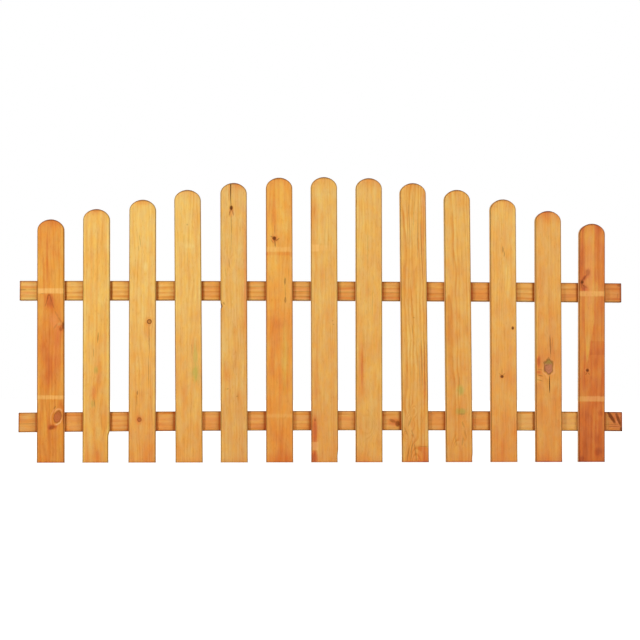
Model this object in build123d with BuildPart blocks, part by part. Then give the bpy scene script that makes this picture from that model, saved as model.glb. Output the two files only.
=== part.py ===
"""Arched garden fence panel: round-headed pickets fastened across two rails.

The panel is planed softwood. Thirteen upright pickets stand in front of two rails, face to face
with them, and the rails run on past the outer pickets as stubs that are fixed to the posts.
The feet of the pickets are level, and their tops rise to a crown at the middle.

Frame, in millimetres: +X runs along the panel to the right as seen from the front, +Y points
away from the viewer and +Z up. The origin is the middle of the lower rail's back face, the face
that lies against the posts. The pickets show their front faces to -Y.
"""

import os
from math import cos, pi

from build123d import *

# Pickets
PICKET_COUNT = 13
PICKET_WIDTH = 80.0
PICKET_GAP = 54.5
PICKET_THICKNESS = 18.0
PICKET_ARRIS = 4.0  # radius of the moulded front edges
PICKET_BACK_CHAMFER = 2.0  # on the back edges, which are only broken

# Picket tops
CROWN_HEIGHT = 850.0  # middle picket, from foot to top
END_HEIGHT = 716.0  # outer pickets, from foot to top
HEAD_RISE = 24.5  # of the head's large arc, across the full width
SHOULDER_RADIUS = 28.0  # of the arcs that run from the large one into the straight sides

# Rails
RAIL_HEIGHT = 58.0
RAIL_DEPTH = 30.0
RAIL_ARRIS = 4.0
RAIL_STUB = 53.0  # length past the outer picket, at each end
RAIL_SPACING = 388.0  # between the centre lines of the two rails
FOOT_DROP = 92.0  # from the lower rail's bottom edge down to the picket feet

# Sizes that follow from the ones above
PICKET_PITCH = PICKET_WIDTH + PICKET_GAP
OUTER_PICKET_X = PICKET_PITCH * (PICKET_COUNT - 1) / 2
RAIL_LENGTH = 2 * OUTER_PICKET_X + PICKET_WIDTH + 2 * RAIL_STUB
FOOT_Z = -RAIL_HEIGHT / 2 - FOOT_DROP


def picket_height(x):
    """Height of a picket at x: the line of a thin batten sprung over the outer pickets.

    A batten that is pinned at its ends and bowed up takes half a sine wave, which falls slowly
    near the crown and almost straight near the ends.
    """
    quarter_wave = pi / 2 * x / OUTER_PICKET_X
    return END_HEIGHT + (CROWN_HEIGHT - END_HEIGHT) * cos(quarter_wave)


def make_picket(name, x):
    """One picket centred on x: a round-headed board, moulded in front and chamfered at the back."""
    left = x - PICKET_WIDTH / 2
    right = x + PICKET_WIDTH / 2
    top = FOOT_Z + picket_height(x)
    shoulder = top - HEAD_RISE
    with BuildPart() as picket:
        with BuildSketch(Plane.XZ.offset(RAIL_DEPTH)) as outline:
            with BuildLine():
                Polyline((left, shoulder), (left, FOOT_Z), (right, FOOT_Z), (right, shoulder))
                ThreePointArc((right, shoulder), (x, top), (left, shoulder))
            make_face()
            fillet(outline.vertices().group_by(Axis.Y)[-1], SHOULDER_RADIUS)
        extrude(amount=PICKET_THICKNESS)
        front_edges = picket.faces().sort_by(Axis.Y)[0].edges()
        foot_edges = picket.faces().sort_by(Axis.Z)[0].edges()
        fillet(front_edges - foot_edges, PICKET_ARRIS)
        back_edges = picket.faces().sort_by(Axis.Y)[-1].edges()
        foot_edges = picket.faces().sort_by(Axis.Z)[0].edges()
        chamfer(back_edges - foot_edges, PICKET_BACK_CHAMFER)
    picket.part.label = name
    export_step(picket.part, f"parts/{name}.step")


def make_rail(name, centre_z):
    """One rail with its centre line at centre_z: a rounded section, cut square at both ends."""
    with BuildPart() as rail:
        with BuildSketch(Plane.YZ.offset(-RAIL_LENGTH / 2)) as section:
            with Locations((-RAIL_DEPTH / 2, centre_z)):
                Rectangle(RAIL_DEPTH, RAIL_HEIGHT)
            fillet(section.vertices(), RAIL_ARRIS)
        extrude(amount=RAIL_LENGTH)
    rail.part.label = name
    export_step(rail.part, f"parts/{name}.step")


os.makedirs("parts", exist_ok=True)

for number in range(1, PICKET_COUNT + 1):
    make_picket(f"picket_{number:02d}", PICKET_PITCH * (number - 1) - OUTER_PICKET_X)

make_rail("lower_rail", 0)
make_rail("upper_rail", RAIL_SPACING)
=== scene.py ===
"""Looks of the arched garden fence panel: planed softwood boards, dipped in a honey-orange stain.

Each picket and rail of the frame is replaced by a board of the same size whose long edges are
moulded round, and which leans, narrows and splits as the real one does. Its material is solid
wood: growth rings round a pith line, knots that the grain flows round, and a translucent stain
that took unevenly. Screws hold the pickets from the backs of the rails.

Lengths are in millimetres along a board and become metres when a mesh is placed. Every board has
the same three grain directions: across its width, in from its front face, and along its length.
"""

import logging
import math
from dataclasses import dataclass, replace
from enum import Enum
from typing import ClassVar

import bmesh
import bpy
import numpy as np
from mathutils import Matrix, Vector


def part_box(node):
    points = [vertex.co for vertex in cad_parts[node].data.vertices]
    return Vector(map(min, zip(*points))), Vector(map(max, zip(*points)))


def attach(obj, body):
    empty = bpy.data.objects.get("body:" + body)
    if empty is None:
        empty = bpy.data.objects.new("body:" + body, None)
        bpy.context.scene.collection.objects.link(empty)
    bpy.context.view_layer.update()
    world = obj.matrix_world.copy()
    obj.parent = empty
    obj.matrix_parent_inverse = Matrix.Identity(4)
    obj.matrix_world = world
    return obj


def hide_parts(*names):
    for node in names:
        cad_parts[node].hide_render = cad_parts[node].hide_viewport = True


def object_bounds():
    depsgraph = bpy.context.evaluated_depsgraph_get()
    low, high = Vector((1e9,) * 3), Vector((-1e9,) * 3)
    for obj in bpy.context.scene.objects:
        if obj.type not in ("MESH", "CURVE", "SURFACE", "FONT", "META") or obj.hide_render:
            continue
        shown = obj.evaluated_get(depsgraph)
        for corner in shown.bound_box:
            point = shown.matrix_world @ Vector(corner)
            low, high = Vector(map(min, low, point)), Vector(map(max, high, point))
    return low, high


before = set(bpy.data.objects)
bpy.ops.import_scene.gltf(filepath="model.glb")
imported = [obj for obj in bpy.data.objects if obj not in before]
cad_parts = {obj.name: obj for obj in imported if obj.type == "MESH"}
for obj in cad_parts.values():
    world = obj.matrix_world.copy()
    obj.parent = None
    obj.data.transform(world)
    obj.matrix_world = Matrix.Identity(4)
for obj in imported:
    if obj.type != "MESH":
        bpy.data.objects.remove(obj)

log = logging.getLogger("fence_panel")

MM = 0.001
CAD_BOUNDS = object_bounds()
CRACK_WAVE = 0.045  # turns of a crack's bends, in radians for each millimetre
SHARP_ANGLE = 40.0  # degrees between faces, from which their shared edge stays sharp

Array = np.ndarray
Faces = list[tuple[int, ...]]
Socket = bpy.types.NodeSocket
Feed = Socket | float
Colour = tuple[float, float, float]
Run = tuple[float, float, float, float]  # a range of one number, and the range it maps to


def srgb(red: int, green: int, blue: int) -> Colour:
    """Turn a screen colour into the linear light that shaders work in.

    Formula: values under a small threshold are divided by 12.92, and the others are raised to
    the power 2.4 after an offset of 0.055.

    Args:
        red: Red from 0 to 255.
        green: Green from 0 to 255.
        blue: Blue from 0 to 255.

    Returns:
        The three linear components from 0 to 1.
    """
    def linear(level: int) -> float:
        """One component of the colour."""
        share = level / 255
        return share / 12.92 if share <= 0.04045 else ((share + 0.055) / 1.055) ** 2.4
    return linear(red), linear(green), linear(blue)


class Stain(Enum):
    """How deeply the dip has coloured the wood, as a place on the stain's colour scale."""

    BARE = 0.0
    HONEY = 0.2
    AMBER = 0.4
    ORANGE = 0.6
    RUSSET = 0.8
    CHESTNUT = 1.0


STAIN_COLOURS: dict[Stain, Colour] = {
    Stain.BARE: srgb(255, 217, 135),
    Stain.HONEY: srgb(248, 205, 114),
    Stain.AMBER: srgb(243, 183, 96),
    Stain.ORANGE: srgb(238, 158, 78),
    Stain.RUSSET: srgb(224, 123, 62),
    Stain.CHESTNUT: srgb(188, 90, 48),
}


class KnotKind(Enum):
    """What a branch left in the board: colours of its lower part, upper part and outline."""

    PIN = (srgb(88, 36, 0), srgb(88, 36, 0), srgb(128, 64, 0))
    ROUND = (srgb(206, 134, 54), srgb(198, 126, 48), srgb(104, 48, 4))
    LIVE = (srgb(200, 108, 58), srgb(192, 100, 46), srgb(158, 82, 24))
    GREY = (srgb(200, 126, 92), srgb(166, 142, 62), srgb(140, 86, 34))


class TintKind(Enum):
    """Colours that show through the stain: green preservative, pinkish heartwood and pale fog."""

    GREEN = srgb(164, 182, 82)
    PINK = srgb(240, 148, 96)
    FOG = srgb(228, 180, 108)


@dataclass(frozen=True)
class Gleam:
    """A painted highlight: a pale crescent beside a knot.

    Its side is a direction in degrees from the right, anticlockwise, and its reach is the
    distance from the knot's centre in the knot's own radii.
    """

    side: float
    reach: float = 1.25
    strength: float = 0.6


@dataclass(frozen=True)
class Knot:
    """A branch cut through by the board's face, with the grain flowing round it."""

    across: float
    along: float
    radius: float
    kind: KnotKind = KnotKind.ROUND
    stretch: float = 1.2
    tilt: float = 0.0
    halo: float = 0.1
    gleams: tuple[Gleam, ...] = ()
    corners: int = 0
    outline: float = 0.7


@dataclass(frozen=True)
class Patch:
    """A soft oval where the stain is deeper, or paler where the change is negative."""

    across: float
    along: float
    half_width: float
    half_length: float
    change: float
    tilt: float = 0.0


@dataclass(frozen=True)
class Fleck:
    """A short dark line or spot of resin or bark in the grain."""

    across: float
    along: float
    half_width: float
    half_length: float
    tilt: float = 0.0
    strength: float = 0.6


@dataclass(frozen=True)
class Tint:
    """A soft spot of another colour under the stain."""

    across: float
    along: float
    half_width: float
    half_length: float
    strength: float = 0.5
    kind: TintKind = TintKind.GREEN
    tilt: float = 0.0


@dataclass(frozen=True)
class Swirl:
    """A place where the rings rise or dip under the face, and show as nested curves."""

    across: float
    along: float
    half_width: float
    half_length: float
    rings: float
    tilt: float = 0.0


@dataclass(frozen=True)
class Band:
    """A strip across the board that a spacer kept out of the dip, or a deeper one if negative."""

    low: float
    high: float
    strength: float = 0.5
    left: float = -60.0
    right: float = 60.0
    ragged: float = 2.0
    soft: float = 2.0


@dataclass(frozen=True)
class Wedge:
    """A pale tongue of sapwood that starts at a point and widens towards the head."""

    across_low: float
    low: float
    across_high: float
    high: float
    half_width: float
    change: float


@dataclass(frozen=True)
class Check:
    """A drying crack that follows the grain, widest in its middle."""

    across: float
    low: float
    high: float
    half_width: float = 0.7
    depth: float = 3.0
    drift: float = 1.0

    @property
    def middle(self) -> float:
        """Height of its middle."""
        return (self.low + self.high) / 2

    @property
    def reach(self) -> float:
        """Half of its length."""
        return (self.high - self.low) / 2


@dataclass(frozen=True)
class Figure:
    """Where the board was cut from the log, which sets the pattern of its rings.

    The pith is a line behind or beside the board, which leans against it. A board cut far from
    the pith shows straight lines, and one whose pith leans shows pointed arches.
    """

    pith_across: float = 42.0
    pith_depth: float = 60.0
    lean_across: float = 0.0
    lean_depth: float = 0.012
    ring_width: float = 3.2
    contrast: float = 0.35
    wander: float = 6.0
    swirls: tuple[Swirl, ...] = ()


@dataclass(frozen=True)
class Spots:
    """A noise: how wide and long its spots are, and an offset that sets it apart from others."""

    width: float
    length: float
    offset: float = 0.0
    detail: float = 2.0
    roughness: float = 0.5


Oval = Patch | Fleck | Tint | Swirl


class Graph:
    """A node tree with short calls that add a node and return its output."""

    def __init__(self, tree: bpy.types.NodeTree) -> None:
        """Start on an empty node tree."""
        self.tree = tree
        self.tree.nodes.clear()

    def node(self, kind: str, **settings: object) -> bpy.types.Node:
        """Add a node of the given kind and set its properties."""
        made = self.tree.nodes.new(kind)
        for name, value in settings.items():
            setattr(made, name, value)
        return made

    def feed(self, socket: Socket, value: Feed | Colour) -> None:
        """Link a socket to an input, or set a plain value on it."""
        if isinstance(value, bpy.types.NodeSocket):
            self.tree.links.new(value, socket)
        elif isinstance(value, tuple) and len(socket.default_value) == 4:
            socket.default_value = (*value, 1.0)
        else:
            socket.default_value = value

    def math(self, operation: str, *values: Feed) -> Socket:
        """Add a math node: one operation on one to three numbers."""
        made = self.node("ShaderNodeMath", operation=operation)
        for socket, value in zip(made.inputs, values):
            self.feed(socket, value)
        return made.outputs[0]

    def add(self, first: Feed, second: Feed) -> Socket:
        """Sum of two numbers."""
        return self.math("ADD", first, second)

    def less(self, first: Feed, second: Feed) -> Socket:
        """The first number less the second."""
        return self.math("SUBTRACT", first, second)

    def scale(self, value: Feed, factor: Feed) -> Socket:
        """Product of two numbers."""
        return self.math("MULTIPLY", value, factor)

    def raised(self, value: Feed, mask: Feed, amount: float) -> Socket:
        """A number with an amount added as far as a mask says."""
        return self.math("MULTIPLY_ADD", mask, amount, value)

    def square(self, value: Feed) -> Socket:
        """A number times itself."""
        return self.math("POWER", value, 2.0)

    def size(self, value: Feed) -> Socket:
        """A number without its sign."""
        return self.math("ABSOLUTE", value)

    def distance(self, first: Feed, second: Feed) -> Socket:
        """Length of a line with the given two components."""
        return self.math("SQRT", self.add(self.square(first), self.square(second)))

    def fit(self, value: Feed, low: float, high: float, to_low: float = 0.0, to_high: float = 1.0,
            smooth: bool = True) -> Socket:
        """Map a range of a number to another range, clamped, with a smooth or straight run."""
        kind = "SMOOTHSTEP" if smooth else "LINEAR"
        made = self.node("ShaderNodeMapRange", interpolation_type=kind, clamp=True)
        for socket, number in zip(made.inputs, (value, low, high, to_low, to_high)):
            self.feed(socket, number)
        return made.outputs[0]

    def vector(self, first: Feed, second: Feed, third: Feed) -> Socket:
        """Three numbers as a vector."""
        made = self.node("ShaderNodeCombineXYZ")
        for socket, value in zip(made.inputs, (first, second, third)):
            self.feed(socket, value)
        return made.outputs[0]

    def split(self, vector: Socket) -> list[Socket]:
        """The three numbers of a vector."""
        made = self.node("ShaderNodeSeparateXYZ")
        self.feed(made.inputs[0], vector)
        return list(made.outputs)

    def attribute(self, name: str, output: str = "Fac") -> Socket:
        """A value that the mesh carries at each point."""
        return self.node("ShaderNodeAttribute", attribute_name=name).outputs[output]

    def noise(self, place: Socket, scale: float = 1.0, detail: float = 2.0,
              roughness: float = 0.5) -> Socket:
        """Smooth random values from 0 to 1, about 0.5 on average."""
        made = self.node("ShaderNodeTexNoise")
        self.feed(made.inputs["Vector"], place)
        self.feed(made.inputs["Scale"], scale)
        self.feed(made.inputs["Detail"], detail)
        self.feed(made.inputs["Roughness"], roughness)
        return made.outputs["Fac"]

    def swing(self, noise: Socket, amount: float) -> Socket:
        """Turn noise about 0.5 into a change from about minus to plus the amount."""
        return self.math("MULTIPLY_ADD", noise, 2 * amount, -amount)

    def mix(self, factor: Feed, first: Socket | Colour, second: Socket | Colour,
            blend: str = "MIX") -> Socket:
        """Blend two colours."""
        made = self.node("ShaderNodeMix", data_type="RGBA", blend_type=blend)
        self.feed(made.inputs[0], factor)
        self.feed(made.inputs[6], first)
        self.feed(made.inputs[7], second)
        return made.outputs[2]

    def darken(self, factor: Feed, colour: Socket, by: Socket | Colour) -> Socket:
        """Multiply a colour by another, as far as the factor says."""
        return self.mix(factor, colour, by, "MULTIPLY")

    def ramp(self, value: Socket, stops: list[tuple[float, Colour]]) -> Socket:
        """Colour of a number on a scale of stops."""
        made = self.node("ShaderNodeValToRGB")
        elements = made.color_ramp.elements
        while len(elements) < len(stops):
            elements.new(0.5)
        for element, (position, colour) in zip(elements, stops):
            element.position = position
            element.color = (*colour, 1.0)
        self.feed(made.inputs[0], value)
        return made.outputs[0]

    def bump(self, height: Socket, strength: float, distance: float) -> Socket:
        """Normal of a surface with the given relief, whose distance is in metres."""
        made = self.node("ShaderNodeBump")
        made.inputs["Strength"].default_value = strength
        made.inputs["Distance"].default_value = distance
        self.feed(made.inputs["Height"], height)
        return made.outputs[0]

    def surface(self, shader: Socket, output: str = "ShaderNodeOutputMaterial") -> None:
        """Send a shader to the tree's output."""
        self.feed(self.node(output).inputs["Surface"], shader)


@dataclass(frozen=True)
class Grain:
    """Where a point lies in its board, with the masks and noises that follow the grain."""

    graph: Graph
    seed: float
    across: Socket
    depth: Socket
    along: Socket

    def noise(self, spots: Spots) -> Socket:
        """Smooth random values from 0 to 1, in spots that are drawn out along the grain."""
        graph = self.graph
        place = graph.vector(
            graph.math("MULTIPLY_ADD", self.across, 1 / spots.width, self.seed + spots.offset),
            graph.math("MULTIPLY_ADD", self.depth, 1 / spots.width, self.seed * 1.7),
            graph.math("MULTIPLY_ADD", self.along, 1 / spots.length, self.seed * 0.6 + spots.offset),
        )
        return graph.noise(place, detail=spots.detail, roughness=spots.roughness)

    def swing(self, spots: Spots, amount: float) -> Socket:
        """Noise as a change from about minus to plus the amount."""
        return self.graph.swing(self.noise(spots), amount)

    def crosswise(self) -> "Grain":
        """The same place with across and along exchanged, so that spots are drawn out across."""
        return replace(self, across=self.along, along=self.across)

    def turned(self, spot: Oval | Knot) -> tuple[Socket, Socket]:
        """Place relative to a spot's centre, turned by its tilt, as rightwards and upwards."""
        graph = self.graph
        side = graph.less(self.across, spot.across)
        rise = graph.less(self.along, spot.along)
        if not spot.tilt:
            return side, rise
        cosine, sine = math.cos(math.radians(spot.tilt)), math.sin(math.radians(spot.tilt))
        turned_side = graph.math("MULTIPLY_ADD", side, cosine, graph.scale(rise, sine))
        turned_rise = graph.math("MULTIPLY_ADD", rise, cosine, graph.scale(side, -sine))
        return turned_side, turned_rise

    def oval(self, spot: Oval, ragged: Feed = 0.0, core: float = 0.2) -> Socket:
        """A soft oval: one in the middle, falling smoothly to nothing at its edge.

        Args:
            spot: Centre, half width, half length and tilt of the oval.
            ragged: Noise that frays its edge.
            core: Share of its reach where it starts to fall.

        Returns:
            The mask.
        """
        graph = self.graph
        side, rise = self.turned(spot)
        reach = graph.distance(graph.scale(side, 1 / spot.half_width),
                               graph.scale(rise, 1 / spot.half_length))
        return graph.fit(graph.add(reach, ragged), core, 1.1, 1.0, 0.0)

    def strip(self, band: Band, ragged: Socket) -> Socket:
        """Mask of a band across the board, with slightly uneven edges."""
        graph = self.graph
        edge = graph.add(self.along, graph.swing(ragged, band.ragged))
        inside = graph.scale(graph.fit(edge, band.low - band.soft, band.low + band.soft),
                             graph.fit(edge, band.high - band.soft, band.high + band.soft, 1.0, 0.0))
        inside = graph.scale(inside, graph.fit(self.across, band.left - 2, band.left + 2))
        return graph.scale(inside, graph.fit(self.across, band.right - 3, band.right + 3, 1.0, 0.0))

    def tongue(self, wedge: Wedge) -> Socket:
        """Mask of a wedge whose middle line and width grow in straight runs from its point."""
        graph = self.graph
        share = graph.fit(self.along, wedge.low, wedge.high, smooth=False)
        middle = graph.raised(wedge.across_low, share, wedge.across_high - wedge.across_low)
        half = graph.raised(0.5, share, wedge.half_width)
        off = graph.less(graph.size(graph.less(self.across, middle)), half)
        return graph.scale(graph.fit(off, -2.5, 1.5, 1.0, 0.0),
                           graph.fit(self.along, wedge.low - 4, wedge.low + 30))

    def crack(self, check: Check) -> Socket:
        """Mask of a drying crack in the front face, which thins to a point at both ends."""
        graph = self.graph
        rise = graph.scale(graph.less(self.along, check.middle), 1 / check.reach)
        taper = graph.less(1.0, graph.square(graph.size(rise)))
        bend = graph.math("SINE", graph.scale(self.along, CRACK_WAVE))
        off = graph.size(graph.less(self.across, graph.raised(check.across, bend, check.drift)))
        width = graph.scale(graph.math("MAXIMUM", taper, 0.0), check.half_width * 1.6)
        inside = graph.fit(graph.less(off, width), -0.5, 0.5, 1.0, 0.0)
        inside = graph.scale(inside, graph.fit(self.depth, check.depth, check.depth + 2, 1.0, 0.0))
        return graph.scale(inside, graph.fit(taper, 0.0, 0.2))


class KnotMarks:
    """What one knot does to the wood's shader: bends the grain and paints its heart."""

    # Colour of the painted highlights beside a knot
    GLEAM_HIGHLIGHT: ClassVar[Colour] = srgb(252, 192, 126)
    CORNER_REACH: ClassVar[float] = 0.09
    WALL: ClassVar[float] = 2.1  # thinnest outline, so that it shows on a small knot
    WALL_SHARE: ClassVar[float] = 0.25  # of the radius, on a large knot
    ROUND_FRAY: ClassVar[float] = 0.16
    CORNER_FRAY: ClassVar[float] = 0.26

    def __init__(self, grain: Grain, knot: Knot) -> None:
        """Work out the knot's masks.

        Formula for the shift: grain at a distance from the knot's centre is moved towards the
        centre line by its offset times the radius squared over the distance squared, which is
        how a stream passes a round post. An angular knot's distance swells and shrinks as a
        cosine with one turn for each corner.
        """
        graph = self.graph = grain.graph
        self.knot = knot
        side, rise = grain.turned(knot)
        rise = graph.scale(rise, 1 / knot.stretch)
        flat = graph.raised(graph.square(side), graph.square(rise), 0.35)
        pull = graph.math("DIVIDE", knot.radius ** 2, graph.math("MAXIMUM", flat, knot.radius ** 2))
        self.shift = graph.scale(graph.scale(side, pull), -0.9)
        fray = self.CORNER_FRAY if knot.corners else self.ROUND_FRAY
        ragged = graph.swing(graph.noise(graph.vector(side, rise, knot.along), 2.2 / knot.radius), fray)
        reach = graph.distance(side, rise)
        distance = graph.scale(reach, 1 / knot.radius)
        if knot.corners:
            turn = graph.scale(graph.math("ARCTAN2", rise, side), knot.corners)
            distance = graph.scale(distance, graph.raised(1.0, graph.math("COSINE", turn), self.CORNER_REACH))
        self.side, self.rise, self.reach = side, rise, reach
        self.distance = graph.add(distance, ragged)
        self.heart = graph.fit(self.distance, 0.85, 1.1, 1.0, 0.0)
        wall = max(self.WALL_SHARE, self.WALL / knot.radius)
        self.ring = graph.scale(graph.fit(self.distance, 0.98 - wall, 1.0 - 0.3 * wall),
                                graph.fit(self.distance, 1.0, 1.0 + 0.9 * wall, 1.0, 0.0))
        self.halo = graph.fit(self.distance, 0.9, 3.0, knot.halo, 0.0)
        self.relief = graph.scale(self.ring, -0.25)

    def _crescent(self, gleam: Gleam) -> Socket:
        """Mask of a thin arc of painted highlight outside the knot, on the side that the gleam is."""
        graph = self.graph
        turn = math.radians(gleam.side)
        toward = graph.math("MULTIPLY_ADD", self.side, math.cos(turn),
                            graph.scale(self.rise, math.sin(turn)))
        facing = graph.math("DIVIDE", toward, graph.math("MAXIMUM", self.reach, 0.01))
        arc = graph.scale(graph.fit(self.distance, gleam.reach - 0.20, gleam.reach),
                          graph.fit(self.distance, gleam.reach, gleam.reach + 0.26, 1.0, 0.0))
        return graph.scale(graph.scale(arc, graph.fit(facing, 0.50, 0.95)), gleam.strength)

    def paint(self, colour: Socket) -> Socket:
        """Paint the knot's heart with its own rings, its dark outline and its gleams, which are painted
        highlights.
        """
        graph = self.graph
        lower, upper, outline = self.knot.kind.value
        height = graph.scale(self.rise, 1 / self.knot.radius)
        heart = graph.mix(graph.fit(height, 0.10, 0.60), lower, upper)
        rings = graph.math("SINE", graph.scale(self.distance, 15.0))
        heart = graph.mix(graph.fit(rings, -1.0, 1.0, 0.0, 0.28), heart, outline)
        colour = graph.mix(graph.scale(self.heart, 0.9), colour, heart)
        colour = graph.mix(graph.scale(self.ring, self.knot.outline), colour, outline)
        # Painted highlights beside the knot
        for gleam in self.knot.gleams:
            colour = graph.mix(self._crescent(gleam), colour, self.GLEAM_HIGHLIGHT)
        return colour


@dataclass(frozen=True)
class WoodFinish:
    """Stained softwood: one board's rings, knots, stain and marks.

    Head and foot are the depth of the stain at the board's two ends. The length, the seed and
    the joints are filled in when the board is built.
    """

    head: float
    foot: float
    tone: Colour = (1.0, 1.0, 1.0)
    figure: Figure = Figure()
    streaks: float = 0.07
    stripes: float = 0.13
    blotches: float = 0.19
    soaked: float = 0.18
    pale_edge: float = 0.04
    foot_line: float = 0.0
    knots: tuple[Knot, ...] = ()
    patches: tuple[Patch, ...] = ()
    flecks: tuple[Fleck, ...] = ()
    bands: tuple[Band, ...] = ()
    wedges: tuple[Wedge, ...] = ()
    checks: tuple[Check, ...] = ()
    tints: tuple[Tint, ...] = ()
    length: float = 1.0
    seed: float = 0.0
    grain_axis: int = 2
    joint_pitch: float = 0.0
    joint_half: float = 0.0

    # Colours that darken the stained wood where they are multiplied in
    LATEWOOD: ClassVar[Colour] = (0.90, 0.70, 0.50)
    FIBRE: ClassVar[Colour] = (0.84, 0.68, 0.42)
    WARMER: ClassVar[Colour] = (1.020, 0.985, 0.84)
    DULLER: ClassVar[Colour] = (0.975, 1.010, 1.16)
    # Edge colour: stain collected on moulded edges and soaked into the ends, and painted shade on the arrises
    EDGE_STAIN_AND_SHADE: ClassVar[Colour] = (0.34, 0.26, 0.16)
    SAWN: ClassVar[Colour] = (0.66, 0.46, 0.30)
    # Painted shade with pooled stain, in the corners of a rail's front beside the pickets
    POOL_AND_SHADE: ClassVar[Colour] = (0.50, 0.24, 0.08)

    # Colours that are painted over it
    RESIN: ClassVar[Colour] = srgb(124, 56, 0)
    SPLIT: ClassVar[Colour] = srgb(98, 46, 0)
    PALE: ClassVar[Colour] = srgb(255, 201, 116)
    # Painted highlight that lightens the sides and the outer part of the moulded edges
    SIDE_HIGHLIGHT: ClassVar[Colour] = srgb(248, 208, 144)

    # Noises of the rings, the fibres and the stain
    SWAY: ClassVar[Spots] = Spots(60, 170)
    HEAVE: ClassVar[Spots] = Spots(190, 60)
    WAVER: ClassVar[Spots] = Spots(14, 45, 2.1)
    FADING: ClassVar[Spots] = Spots(22, 90, 7.7, 1.0)
    FINE: ClassVar[Spots] = Spots(0.9, 40, 0.0, 3.0, 0.65)
    COARSE: ClassVar[Spots] = Spots(4.6, 95, 0.0, 2.0, 0.6)
    CANALS: ClassVar[Spots] = Spots(1.9, 13, 9.1, 1.0)
    STREAK: ClassVar[Spots] = Spots(11, 330)
    STRIPE: ClassVar[Spots] = Spots(8, 150, 3.3, 1.0)
    BLOTCH: ClassVar[Spots] = Spots(34, 62)
    RAGGED: ClassVar[Spots] = Spots(7, 30)
    FRAYED: ClassVar[Spots] = Spots(1.6, 8)
    HUE: ClassVar[Spots] = Spots(14, 30, 5.3, 3.0)

    # How strongly the noises, a year's growth and the rim show
    YEAR_GROWS: ClassVar[Run] = (0.30, 0.86, 0.0, 1.0)
    YEAR_ENDS: ClassVar[Run] = (0.90, 1.0, 1.0, 0.0)
    FINE_SHOWS: ClassVar[Run] = (0.40, 0.75, 0.0, 0.42)
    COARSE_SHOWS: ClassVar[Run] = (0.52, 0.78, 0.0, 0.55)
    CANALS_SHOW: ClassVar[Run] = (0.58, 0.76, 0.0, 0.52)
    # How far the painted highlight on the sides shows
    SIDE_HIGHLIGHT_SHOWS: ClassVar[Run] = (0.75, 1.0, 0.0, 0.62)
    # Darkening of the arrises: partly collected stain, partly painted shade
    GATHER_AND_SHADE_RISES: ClassVar[Run] = (0.0, 0.35, 0.0, 1.0)
    GATHER_AND_SHADE_FALLS: ClassVar[Run] = (0.50, 0.90, 0.72, 0.0)
    HEAD_LIP: ClassVar[Run] = (0.60, 0.82, 0.0, 0.40)
    FOOT_LIP: ClassVar[Run] = (1.0, 6.0, 0.30, 0.0)
    SAWN_SHOWS: ClassVar[Run] = (0.25, 0.95, 0.0, 0.8)

    SPECULAR: ClassVar[float] = 0.14
    ROUGHNESS: ClassVar[float] = 0.50
    FIBRE_ROUGHER: ClassVar[float] = 0.16
    LATE_SMOOTHER: ClassVar[float] = 0.10
    LATE_PROUD: ClassVar[float] = 0.08
    FIBRE_GROOVE: ClassVar[float] = 0.10
    CRACK_SINK: ClassVar[float] = 1.2
    RELIEF: ClassVar[float] = 0.8
    # Reach and depth of the painted shade with pooled stain beside the pickets
    POOL_SHADE_REACH: ClassVar[float] = 8.0
    POOL_SHADE_DEPTH: ClassVar[float] = 0.85
    EDGE_STRIP: ClassVar[float] = 30.0

    def material(self, name: str) -> bpy.types.Material:
        """Build the board's material.

        Args:
            name: Name of the material.

        Returns:
            The material, with its colour, roughness and bump worked out from the grain.
        """
        made = bpy.data.materials.new(name)
        made.use_nodes = True
        graph = Graph(made.node_tree)
        grain = Grain(graph, self.seed, *graph.split(graph.attribute("grain", "Vector")))
        rim, soak = graph.attribute("rim"), graph.attribute("soak")
        marks = [KnotMarks(grain, knot) for knot in self.knots]
        bent = grain
        for mark in marks:
            bent = replace(bent, across=graph.add(bent.across, mark.shift))
        late = self._latewood(bent)
        fine = bent.noise(self.FINE)
        cracks = self._cracks(grain)

        colour = self._stained(grain, bent, soak, marks)
        colour = self._grained(bent, colour, late, fine)
        colour = self._marked(grain, colour, marks, cracks)
        colour = self._edged(grain, colour, rim, soak)

        shader = graph.node("ShaderNodeBsdfPrincipled")
        shader.inputs["Specular IOR Level"].default_value = self.SPECULAR
        graph.feed(shader.inputs["Base Color"], colour)
        sheen = graph.add(graph.scale(fine, self.FIBRE_ROUGHER), graph.scale(late, -self.LATE_SMOOTHER))
        graph.feed(shader.inputs["Roughness"], graph.add(sheen, self.ROUGHNESS))
        graph.feed(shader.inputs["Normal"], self._bump(graph, late, fine, marks, cracks))
        graph.surface(shader.outputs[0])
        return made

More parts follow.
